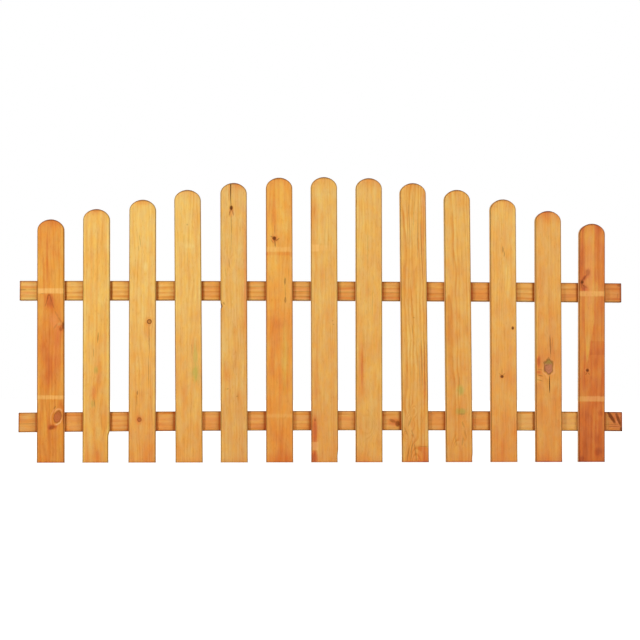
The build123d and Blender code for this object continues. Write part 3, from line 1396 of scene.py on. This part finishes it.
def picket_03() -> Picket:
    """Pale honey, with a round knot in its middle and a small live one near the foot."""
    return Picket(3, -6.3, Slot.HONEY_PICKET, WoodFinish(
        head=0.20, foot=0.48, figure=Figure(-50, 60, 0.0, 0.01, 5.4, 0.46),
        knots=(Knot(20.5, 415, 6.2, KnotKind.ROUND, 1.0, 0, 0.14, outline=0.9),
               Knot(-8, 126, 5.6, KnotKind.LIVE, 1.1, 0, 0.16)),
        patches=(Patch(9, 577, 10, 18, -0.2), Patch(2, 700, 8, 60, -0.06), Patch(14, 385, 18, 46, 0.10),
                 Patch(24, 60, 22, 90, 0.10), Patch(-8, 480, 20, 60, -0.05), Patch(0, 768, 34, 10, 0.12)),
        flecks=(Fleck(20, 366, 2.0, 48, 1, 0.42), Fleck(18.5, 270, 1.6, 56, 1, 0.3),
                Fleck(-14.5, 205, 2.2, 8, 0, 0.55), Fleck(-16, 186, 1.6, 22, 3, 0.3),
                Fleck(-8, 655, 1.8, 22, 8, 0.3), Fleck(-12, 632, 1.5, 10, 4, 0.25)),
    ), Shape(1.0, -1.3))


def picket_04() -> Picket:
    """Honey and straight-grained, with a long greenish spot on its right."""
    return Picket(4, -3.6, Slot.HONEY_PICKET, WoodFinish(
        head=0.25, foot=0.44, soaked=0.24, figure=Figure(46, 64, 0.0, 0.01, 5.0, 0.42),
        patches=(Patch(-14, 275, 15, 90, 0.05), Patch(6, 640, 20, 10, -0.10), Patch(16, 480, 14, 90, -0.08),
                 Patch(-30, 500, 8, 160, -0.05)),
        flecks=(Fleck(-2, 703, 3.4, 3, 0, 0.25), Fleck(10, 330, 1.3, 26, 2, 0.28),
                Fleck(-12, 660, 1.4, 16, 0, 0.18), Fleck(-2, 600, 1.3, 30, 0, 0.15)),
        tints=(Tint(21, 262, 15, 34, 0.5), Tint(20, 312, 9, 50, 0.32)),
    ), Shape(4.7, -3.8))


def picket_05() -> Picket:
    """Honey, with a pin knot and a drying crack in its head and a nick in its left side."""
    return Picket(5, -2.7, Slot.HONEY_PICKET, WoodFinish(
        head=0.34, foot=0.42, tone=(0.97, 1.0, 1.10),
        figure=Figure(-52, 70, 0.0, 0.01, 5.0, 0.32, 6.0,
                      (Swirl(-20, 275, 13, 38, 2.0), Swirl(-8, 590, 12, 30, 1.6))),
        knots=(Knot(-7.4, 754.5, 4.0, KnotKind.PIN, 1.35, 0, 0.14, outline=0.8),),
        checks=(Check(-8.5, 738, 905, 0.65, 4.0, 0.4),),
        patches=(Patch(36, 470, 8, 320, 0.18), Patch(20, 832, 24, 34, 0.12), Patch(-8, 740, 10, 18, 0.22),
                 Patch(-12, 800, 8, 44, 0.14), Patch(-22, 270, 14, 44, 0.08)),
        flecks=(Fleck(-12.0, 740, 2.4, 13, -14, 0.42), Fleck(-3.2, 741, 2.2, 12, 16, 0.4),
                Fleck(-12, 792, 1.6, 26, 0, 0.2), Fleck(-38, 462, 4.2, 9, 0, 0.85),
                Fleck(-30, 470, 2.4, 6, 40, 0.4), Fleck(-7.6, 708, 2.4, 34, 0, 0.34),
                Fleck(-7.8, 662, 1.6, 40, 0, 0.22), Fleck(-19, 217, 4.2, 2.6, 30, 0.28),
                Fleck(9, 195, 4.2, 2.4, 20, 0.24), Fleck(-14, 590, 1.8, 16, 6, 0.28),
                Fleck(-24, 560, 1.5, 18, 4, 0.2)),
        tints=(Tint(35, 560, 5, 260, 0.25, PINK),),
    ), Shape(2.9, -1.7, nick_height=462.0, nick_depth=2.2))


def picket_06() -> Picket:
    """Orange, with an angular pin knot high up, two spacer bands and two resin streaks."""
    return Picket(6, 0.9, Slot.ORANGE_PICKET, WoodFinish(
        head=0.44, foot=0.54, tone=(1.04, 1.05, 0.88), figure=Figure(44, 52, 0.0, 0.015, 5.6, 0.40),
        knots=(Knot(-15, 664.5, 4.6, KnotKind.PIN, 1.1, 0, 0.14, corners=5, outline=0.8),),
        patches=(Patch(-14, 735, 10, 80, 0.18), Patch(15, 310, 9, 130, -0.10), Patch(0, 5, 50, 40, 0.06),
                 Patch(-14, 400, 16, 120, 0.08), Patch(-37, 560, 6, 300, 0.12),
                 Patch(-14, 660, 14, 16, 0.14)),
        flecks=(Fleck(-7, 660, 2.2, 10, -55, 0.55), Fleck(-13, 649, 2.8, 13, 6, 0.55),
                Fleck(-22, 669, 2.2, 7, 70, 0.45), Fleck(-14, 690, 1.6, 18, 0, 0.3),
                Fleck(-21, 655, 1.8, 8, 35, 0.35), Fleck(16.5, 537, 3.6, 13, -2, 0.5),
                Fleck(17.5, 481, 3.6, 11, -2, 0.5), Fleck(17, 508, 1.5, 28, 2, 0.28),
                Fleck(28, 560, 1.4, 20, 0, 0.2)),
        tints=(Tint(35, 560, 5, 270, 0.35, PINK), Tint(16, 310, 14, 140, 0.14)),
        bands=(Band(625, 639, 0.55, soft=3.0), Band(133, 143, 0.32, soft=3.0),
               Band(614, 624, -0.12), Band(-20, 453, -0.05, ragged=3.0, soft=5.0)),
    ), Shape(2.8, -0.6))


def picket_07() -> Picket:
    """The middle one: honey, with a russet lower left edge and short spacer marks."""
    return Picket(7, -0.6, Slot.HONEY_PICKET, WoodFinish(
        head=0.30, foot=0.48, tone=(0.99, 1.0, 1.03), soaked=0.22,
        figure=Figure(-46, 70, 0.0, 0.01, 5.4, 0.36),
        patches=(Patch(-31, 90, 13, 80, 0.40), Patch(-31, 14, 14, 28, 0.36), Patch(-33, 720, 17, 130, 0.18),
                 Patch(-26, 230, 14, 90, 0.10)),
        flecks=(Fleck(-29, 125, 2.6, 5, 0, 0.5), Fleck(25, 420, 3.6, 1.6, 30, 0.28),
                Fleck(27, 409, 3.6, 1.6, -30, 0.28), Fleck(4, 560, 1.3, 40, 0, 0.14)),
        tints=(Tint(-30, 48, 14, 14, 0.35, PINK),),
        bands=(Band(626, 647, 0.68, -50, -15, 1.0), Band(629, 645, 0.26, -15, 22, 1.0),
               Band(36, 60, 0.55, -50, -19, 1.0)),
    ), Shape(2.0, -1.4, narrow_foot=2.0, narrow_from=40.0))


def picket_08() -> Picket:
    """Honey, with a pale swirl of rings near the foot."""
    return Picket(8, 2.1, Slot.HONEY_PICKET, WoodFinish(
        head=0.31, foot=0.45, foot_line=0.14, soaked=0.26,
        figure=Figure(50, 80, 0.0, 0.008, 5.4, 0.40, 6.0,
                      (Swirl(4, 112, 28, 50, 3.0), Swirl(12, 134, 12, 16, -1.5))),
        patches=(Patch(-21, 272, 6, 96, 0.22), Patch(-20, 250, 16, 110, 0.05), Patch(8, 114, 24, 46, -0.06)),
        tints=(Tint(4, 118, 34, 44, 0.38, FOG),),
        flecks=(Fleck(10, 470, 1.4, 50, 0, 0.18), Fleck(-4, 640, 1.4, 60, 0, 0.16)),
    ), Shape(-0.6, -1.3))


def picket_09() -> Picket:
    """Honey, cut near the pith: strong rings, curls near the foot and a deeper lower corner."""
    return Picket(9, 1.8, Slot.HONEY_PICKET, WoodFinish(
        head=0.32, foot=0.44, foot_line=0.14,
        figure=Figure(-36, 26, 0.0, 0.004, 7.6, 1.35, 9.0,
                      (Swirl(-16, 112, 17, 38, 2.8), Swirl(-24, 78, 12, 24, -2.2),
                       Swirl(-6, 150, 12, 24, 2.0), Swirl(-6, -34, 30, 112, 4.2),
                       Swirl(-4, 640, 15, 190, 1.4))),
        patches=(Patch(26, 690, 8, 130, 0.12), Patch(-14, 330, 18, 110, -0.08), Patch(30, 260, 6, 150, 0.10)),
        flecks=(Fleck(-6, 395, 1.5, 20, 3, 0.35), Fleck(-1, 430, 3.8, 1.6, -20, 0.35),
                Fleck(14, 280, 1.5, 80, 1, 0.28), Fleck(22, 300, 1.6, 90, 1, 0.4),
                Fleck(30, 290, 1.5, 100, 0, 0.35), Fleck(-12, 716, 1.3, 74, 3, 0.3),
                Fleck(2, 740, 1.2, 60, -3, 0.26), Fleck(13, 690, 1.4, 90, -1, 0.32),
                Fleck(24, 640, 1.5, 110, 2, 0.36), Fleck(24, 47, 17, 1.5, 0, 0.35),
                Fleck(-22, 26, 2.6, 30, -10, 0.34), Fleck(-12, 34, 2.6, 34, -6, 0.34),
                Fleck(0, 30, 2.6, 34, 8, 0.36), Fleck(-28, 92, 2.8, 16, 25, 0.28),
                Fleck(-16, 120, 2.8, 18, -22, 0.28), Fleck(-8, 84, 2.8, 16, 18, 0.28)),
        tints=(Tint(33, 770, 8, 70, 0.42, PINK),),
        bands=(Band(-5, 46, -0.20, 7, 60, 1.0, 1.5),),
    ), Shape(3.3, -3.9))


def picket_10() -> Picket:
    """Honey, leaning left, with greenish spots and curls in its lower part."""
    return Picket(10, 3.9, Slot.HONEY_PICKET, WoodFinish(
        head=0.32, foot=0.50, foot_line=0.14,
        figure=Figure(-30, 50, 0.0, 0.012, 6.2, 1.0, 6.0,
                      (Swirl(12, 96, 14, 50, 2.6), Swirl(-12, 10, 20, 70, 2.8))),
        patches=(Patch(-18, 560, 8, 120, 0.06), Patch(20, 640, 12, 80, -0.06)),
        flecks=(Fleck(-11, 66, 3, 20, 6, 0.24), Fleck(2, 240, 2, 18, 0, 0.26),
                Fleck(12, 112, 3.2, 12, 20, 0.26), Fleck(10, 62, 3, 16, -8, 0.26),
                Fleck(18, 84, 3, 14, 12, 0.24), Fleck(8, 143, 10, 2.4, 0, 0.3)),
        tints=(Tint(5, 213, 14, 20, 0.5), Tint(5, 150, 20, 13, 0.5)),
    ), Shape(0.4, -4.9, narrow_foot=1.5, narrow_from=30.0))


def picket_11() -> Picket:
    """Honey, with two pin knots in its lower half."""
    return Picket(11, 4.2, Slot.HONEY_PICKET, WoodFinish(
        head=0.31, foot=0.55, tone=(1.02, 1.0, 1.0), soaked=0.24,
        figure=Figure(50, 66, 0.0, 0.01, 5.2, 0.42, 6.0, (Swirl(-2, 640, 12, 44, 1.8),)),
        knots=(Knot(-6, 255, 4.3, KnotKind.PIN, 0.9, 0, 0.14), Knot(27.5, 400, 3.0, KnotKind.PIN, 1.3)),
        flecks=(Fleck(-1.5, 635, 2.2, 12, 3, 0.5), Fleck(3, 622, 1.8, 10, -6, 0.4),
                Fleck(-6, 268, 1.5, 12, 0, 0.3), Fleck(0, 262, 1.5, 6, -50, 0.35),
                Fleck(-12, 262, 1.5, 6, 50, 0.35)),
        patches=(Patch(10, 540, 16, 60, -0.10), Patch(-20, 660, 18, 70, 0.05)),
    ), Shape(0.4, -0.4))


def picket_12() -> Picket:
    """Deeper honey, with a large greyish angular knot and a crack below it."""
    return Picket(12, 2.7, Slot.HONEY_PICKET, WoodFinish(
        head=0.44, foot=0.56, foot_line=0.22, soaked=0.36,
        figure=Figure(-48, 60, 0.0, 0.01, 5.2, 0.44, 6.0, (Swirl(-28, 268, 17, 38, 2.8),)),
        knots=(Knot(-0.5, 285, 13.5, KnotKind.GREY, 1.62, 0, 0.04,
                    (Gleam(-20, 1.3, 0.4), Gleam(215, 1.35, 0.4)), 6, 0.55),),
        patches=(Patch(-26, 300, 9, 22, 0.26), Patch(-28, 246, 12, 14, -0.14), Patch(-26, 268, 12, 6, 0.2)),
        checks=(Check(2.5, 204, 260, 0.7, 2.5, 0.8),),
        flecks=(Fleck(4.5, 348, 2.0, 38, 2, 0.7), Fleck(10, 352, 1.6, 26, -4, 0.3),
                Fleck(-6, 289, 8, 2.4, 20, 0.4), Fleck(-11, 278, 2.4, 10, 20, 0.35),
                Fleck(4, 264, 8, 2.0, 25, 0.3), Fleck(-26, 258, 11, 2.0, -14, 0.45),
                Fleck(-27, 244, 11, 1.7, -16, 0.36), Fleck(-27, 276, 10, 1.6, -10, 0.32)),
        tints=(Tint(-28, 251, 10, 3, 0.4, FOG, -14),),
    ), Shape(1.0, 2.2))


def picket_13() -> Picket:
    """Russet, with two pin knots, a pale tongue above the lower one and two spacer bands."""
    return Picket(13, 0.0, Slot.RUSSET_PICKET, WoodFinish(
        head=0.71, foot=0.745, foot_line=0.1, tone=(0.98, 1.0, 0.83),
        figure=Figure(46, 40, 0.0, 0.01, 7.0, 0.50),
        knots=(Knot(-31, 539, 3.8, KnotKind.PIN, 1.2, -20, 0.14, (Gleam(10, 1.9, 0.55),), outline=0.8),
               Knot(-14, 274, 3.6, KnotKind.PIN, 1.1, 0, 0.04, (Gleam(160, 2.1, 0.5), Gleam(10, 2.1, 0.4)))),
        patches=(Patch(-13.5, 568, 12, 20, 0.24), Patch(-22, 553, 8, 14, 0.24, -45),
                 Patch(26, 90, 22, 70, 0.08), Patch(-15.5, 330, 3.5, 60, -0.16),
                 Patch(-34, 620, 9, 110, 0.14), Patch(-21, 520, 16, 14, 0.26, -40),
                 Patch(20, 30, 18, 18, 0.14), Patch(26, 146, 14, 12, 0.10), Patch(-32, 8, 12, 14, 0.14)),
        flecks=(Fleck(-25, 551, 2.4, 14, -38, 0.45), Fleck(-13.5, 568, 8, 12, -10, 0.3),
                Fleck(-22, 526, 3.4, 11, 58, 0.3), Fleck(-33, 527, 1.8, 8, 10, 0.45),
                Fleck(-29, 531, 2.6, 6, 40, 0.4), Fleck(-18, 264, 1.8, 5, -40, 0.45),
                Fleck(-10, 264, 1.8, 5, 40, 0.45)),
        tints=(Tint(-9, 560, 17, 190, 0.38, PINK), Tint(28, 640, 6, 60, 0.25, PINK),
               Tint(6, 190, 44, 9, 0.35, PINK)),
        wedges=(Wedge(-15.5, 290, -8, 420, 14, -0.18),),
        bands=(Band(497, 512, 0.58), Band(181, 196, 0.48), Band(320, 362, -0.07, -7),
               Band(-20, 181, -0.05, soft=4.0)),
    ), Shape(-4.4, 1.7))


def upper_rail() -> Rail:
    """Amber, deepening to the right, with long resin lines."""
    return Rail("upper_rail", WoodFinish(
        head=0.53, foot=0.35, tone=(0.955, 1.01, 1.04), soaked=0.16, seed=61.3,
        figure=Figure(52, 30, 0.0, 0.002, 12.0, 1.1),
        patches=(Patch(0, 1780, 60, 50, 0.12), Patch(0, 1300, 50, 130, 0.10), Patch(14, 900, 14, 1300, 0.08),
                 Patch(0, 564, 50, 50, 0.07), Patch(0, 1505, 50, 60, -0.10)),
        flecks=(Fleck(-2.5, 7, 2.0, 15, 0, 0.5), Fleck(-2, 34, 1.2, 34, 0, 0.35),
                Fleck(14, 40, 1.0, 60, 0, 0.2), Fleck(-14, 860, 1.3, 430, 0.4, 0.28),
                Fleck(3, 960, 1.2, 400, -0.5, 0.3), Fleck(15, 1000, 1.4, 520, 0.3, 0.28),
                Fleck(-23, 1793, 6, 7, 0, 0.4), Fleck(10, 1789, 10, 1.3, 0, 0.35)),
        tints=(Tint(-13, 28, 7, 28, 0.3, PINK), Tint(7, 28, 6, 28, 0.3, PINK),
               Tint(-5, 900, 7, 520, 0.32, PINK), Tint(21, 1000, 6, 520, 0.32, PINK)),
    ), Shape(3.2, 0.3, -2.2))


def lower_rail() -> Rail:
    """Amber, with a smudge near its middle and dark slanting streaks on its right stub."""
    return Rail("lower_rail", WoodFinish(
        head=0.39, foot=0.50, tone=(0.975, 0.99, 1.04), soaked=0.16, seed=88.9,
        figure=Figure(-50, 34, 0.0, 0.002, 12.0, 1.0),
        flecks=(Fleck(9, 1120, 11, 8, 0, 0.7), Fleck(1, 1106, 6, 13, -24, 0.5),
                Fleck(-13, 1767, 6.4, 27, -57, 0.95), Fleck(-8, 1788, 5.4, 25, -70, 0.85),
                Fleck(8, 1770, 1.6, 28, 0, 0.4), Fleck(14, 1774, 2.0, 22, 0, 0.4),
                Fleck(27, 1776, 2.2, 32, 0, 0.6), Fleck(22, 1797, 8, 6, 0, 0.65),
                Fleck(4, 26, 1.6, 34, 0, 0.32)),
        patches=(Patch(0, 1776, 60, 36, 0.30), Patch(14, 700, 12, 900, 0.08), Patch(0, 1303, 60, 150, 0.12),
                 Patch(-18, 28, 10, 34, -0.12), Patch(0, 1575, 60, 140, -0.09), Patch(4, 1108, 18, 26, 0.26),
                 Patch(0, 490, 50, 120, 0.07)),
        tints=(Tint(-2, 1786, 24, 7, 0.5, PINK, -62), Tint(-20, 1796, 8, 7, 0.5, PINK),
               Tint(11, 1770, 2.5, 26, 0.4, PINK), Tint(-6, 760, 8, 620, 0.26, PINK),
               Tint(4, 1570, 26, 130, 0.36, FOG), Tint(0, 1570, 30, 130, 0.18, PINK)),
    ), Shape(4.0, 1.0, -4.2))


BOARDS = (upper_rail, lower_rail, picket_01, picket_02, picket_03, picket_04, picket_05, picket_06,
          picket_07, picket_08, picket_09, picket_10, picket_11, picket_12, picket_13)


@dataclass(frozen=True)
class Lamp:
    """A square soft lamp that points at the panel: its place and size in metres, and its power."""

    name: str
    place: tuple[float, float, float]
    size: float
    power: float

    AIM: ClassVar[tuple[float, float, float]] = (0.0, 0.0, 0.25)

    def build(self) -> None:
        """Hang the lamp and turn it."""
        data = bpy.data.lights.new(self.name, "AREA")
        data.size = self.size
        data.energy = self.power
        lamp = bpy.data.objects.new(self.name, data)
        lamp.location = self.place
        aim = Vector(self.AIM) - Vector(self.place)
        lamp.rotation_euler = aim.to_track_quat("-Z", "Y").to_euler()
        bpy.context.scene.collection.objects.link(lamp)


@dataclass(frozen=True)
class Studio:
    """Plain pale studio with the camera where the photograph was taken."""

    camera_x: float = -0.310
    camera_height: float = 0.2126
    camera_distance: float = 4.732
    yaw: float = 0.0627
    pitch: float = 0.0441
    roll: float = -0.0014
    focal_pixels: float = 1596.8
    picture_width: int = 640
    sensor: float = 36.0
    world_level: float = 0.17
    floor_drop: float = 0.004
    floor_reach: float = 30.0
    floor_grey: float = 0.8
    floor_glow: float = 1.15
    shadow_share: float = 0.12
    shadow_side: tuple[float, float] = (0.85, 1.25)
    shadow_away: tuple[float, float] = (0.05, 0.40)
    lamps: tuple[Lamp, ...] = (
        Lamp("key", (-1.75, -2.35, 1.0), 0.5, 36.2),
        Lamp("fill", (1.85, -2.5, 0.9), 1.0, 32.6),
        Lamp("rim", (-2.4, 1.9, 1.0), 1.0, 13.0),
    )

    def build(self) -> None:
        """Make the camera, lamps, world and floor."""
        low, _ = CAD_BOUNDS
        self._camera(low)
        for lamp in self.lamps:
            lamp.build()
        self._world()
        self._floor(low)
        bpy.context.scene.view_settings.view_transform = "Standard"

    def _camera(self, low: Vector) -> None:
        """Place the camera by its fitted position, turn and focal length in pixels."""
        data = bpy.data.cameras.new("camera")
        data.sensor_width = self.sensor
        data.lens = self.focal_pixels / self.picture_width * self.sensor
        data.clip_end = 100.0
        camera = bpy.data.objects.new("camera", data)
        camera.rotation_euler = (math.pi / 2 + self.pitch, self.roll, -self.yaw)
        camera.location = (self.camera_x, low.y - self.camera_distance, low.z + self.camera_height)
        bpy.context.scene.collection.objects.link(camera)
        bpy.context.scene.camera = camera

    def _seen_directly(self, graph: Graph) -> Socket:
        """One for camera, mirror and glass rays, which see a white surround."""
        path = graph.node("ShaderNodeLightPath")
        seen = graph.math("MAXIMUM", path.outputs["Is Camera Ray"], path.outputs["Is Glossy Ray"])
        return graph.math("MAXIMUM", seen, path.outputs["Is Transmission Ray"])

    def _world(self) -> None:
        """White where it is seen, and softer where it lights the panel."""
        world = bpy.data.worlds.new("studio")
        world.use_nodes = True
        graph = Graph(world.node_tree)
        background = graph.node("ShaderNodeBackground")
        graph.feed(background.inputs["Color"], (1.0, 1.0, 1.0))
        level = graph.fit(self._seen_directly(graph), 0.0, 1.0, self.world_level, 1.0, smooth=False)
        graph.feed(background.inputs["Strength"], level)
        graph.surface(background.outputs[0], "ShaderNodeOutputWorld")
        bpy.context.scene.world = world

    def _floor(self, low: Vector) -> None:
        """A pale floor under the feet: it takes the panel's shadow close by, and is white beyond.

        Formula: the share of plain matt floor falls smoothly with the distance from the panel,
        and the rest of it glows white to the camera.
        """
        corners = self.floor_reach * np.array([[-1, -1, 0], [1, -1, 0], [1, 1, 0], [-1, 1, 0]])
        corners = corners + (0, 0, low.z - self.floor_drop)
        mesh = bpy.data.meshes.new("floor")
        mesh.from_pydata(corners.tolist(), [], [(0, 1, 2, 3)])
        floor = bpy.data.objects.new("floor", mesh)
        bpy.context.scene.collection.objects.link(floor)
        material = bpy.data.materials.new("pale_floor")
        material.use_nodes = True
        graph = Graph(material.node_tree)
        place = graph.split(graph.node("ShaderNodeTexCoord").outputs["Object"])
        side = graph.fit(graph.size(place[0]), *self.shadow_side, 1.0, 0.0)
        away = graph.fit(graph.size(place[1]), *self.shadow_away, 1.0, 0.0)
        near = graph.scale(graph.scale(side, away), self.shadow_share)
        matt = graph.node("ShaderNodeBsdfDiffuse")
        graph.feed(matt.inputs["Color"], (self.floor_grey,) * 3)
        glow = graph.node("ShaderNodeEmission")
        graph.feed(glow.inputs["Strength"], self.floor_glow)
        blend = graph.node("ShaderNodeMixShader")
        graph.feed(blend.inputs[0], graph.scale(self._seen_directly(graph), graph.less(1.0, near)))
        graph.feed(blend.inputs[1], matt.outputs[0])
        graph.feed(blend.inputs[2], glow.outputs[0])
        graph.surface(blend.outputs[0])
        mesh.materials.append(material)


def main() -> None:
    """Build the boards, then the studio, and report each piece."""
    logging.basicConfig(level=logging.INFO, format="%(name)s: %(message)s")
    for board in BOARDS:
        board().build()
    Studio().build()


if __name__ == "__main__":
    main()
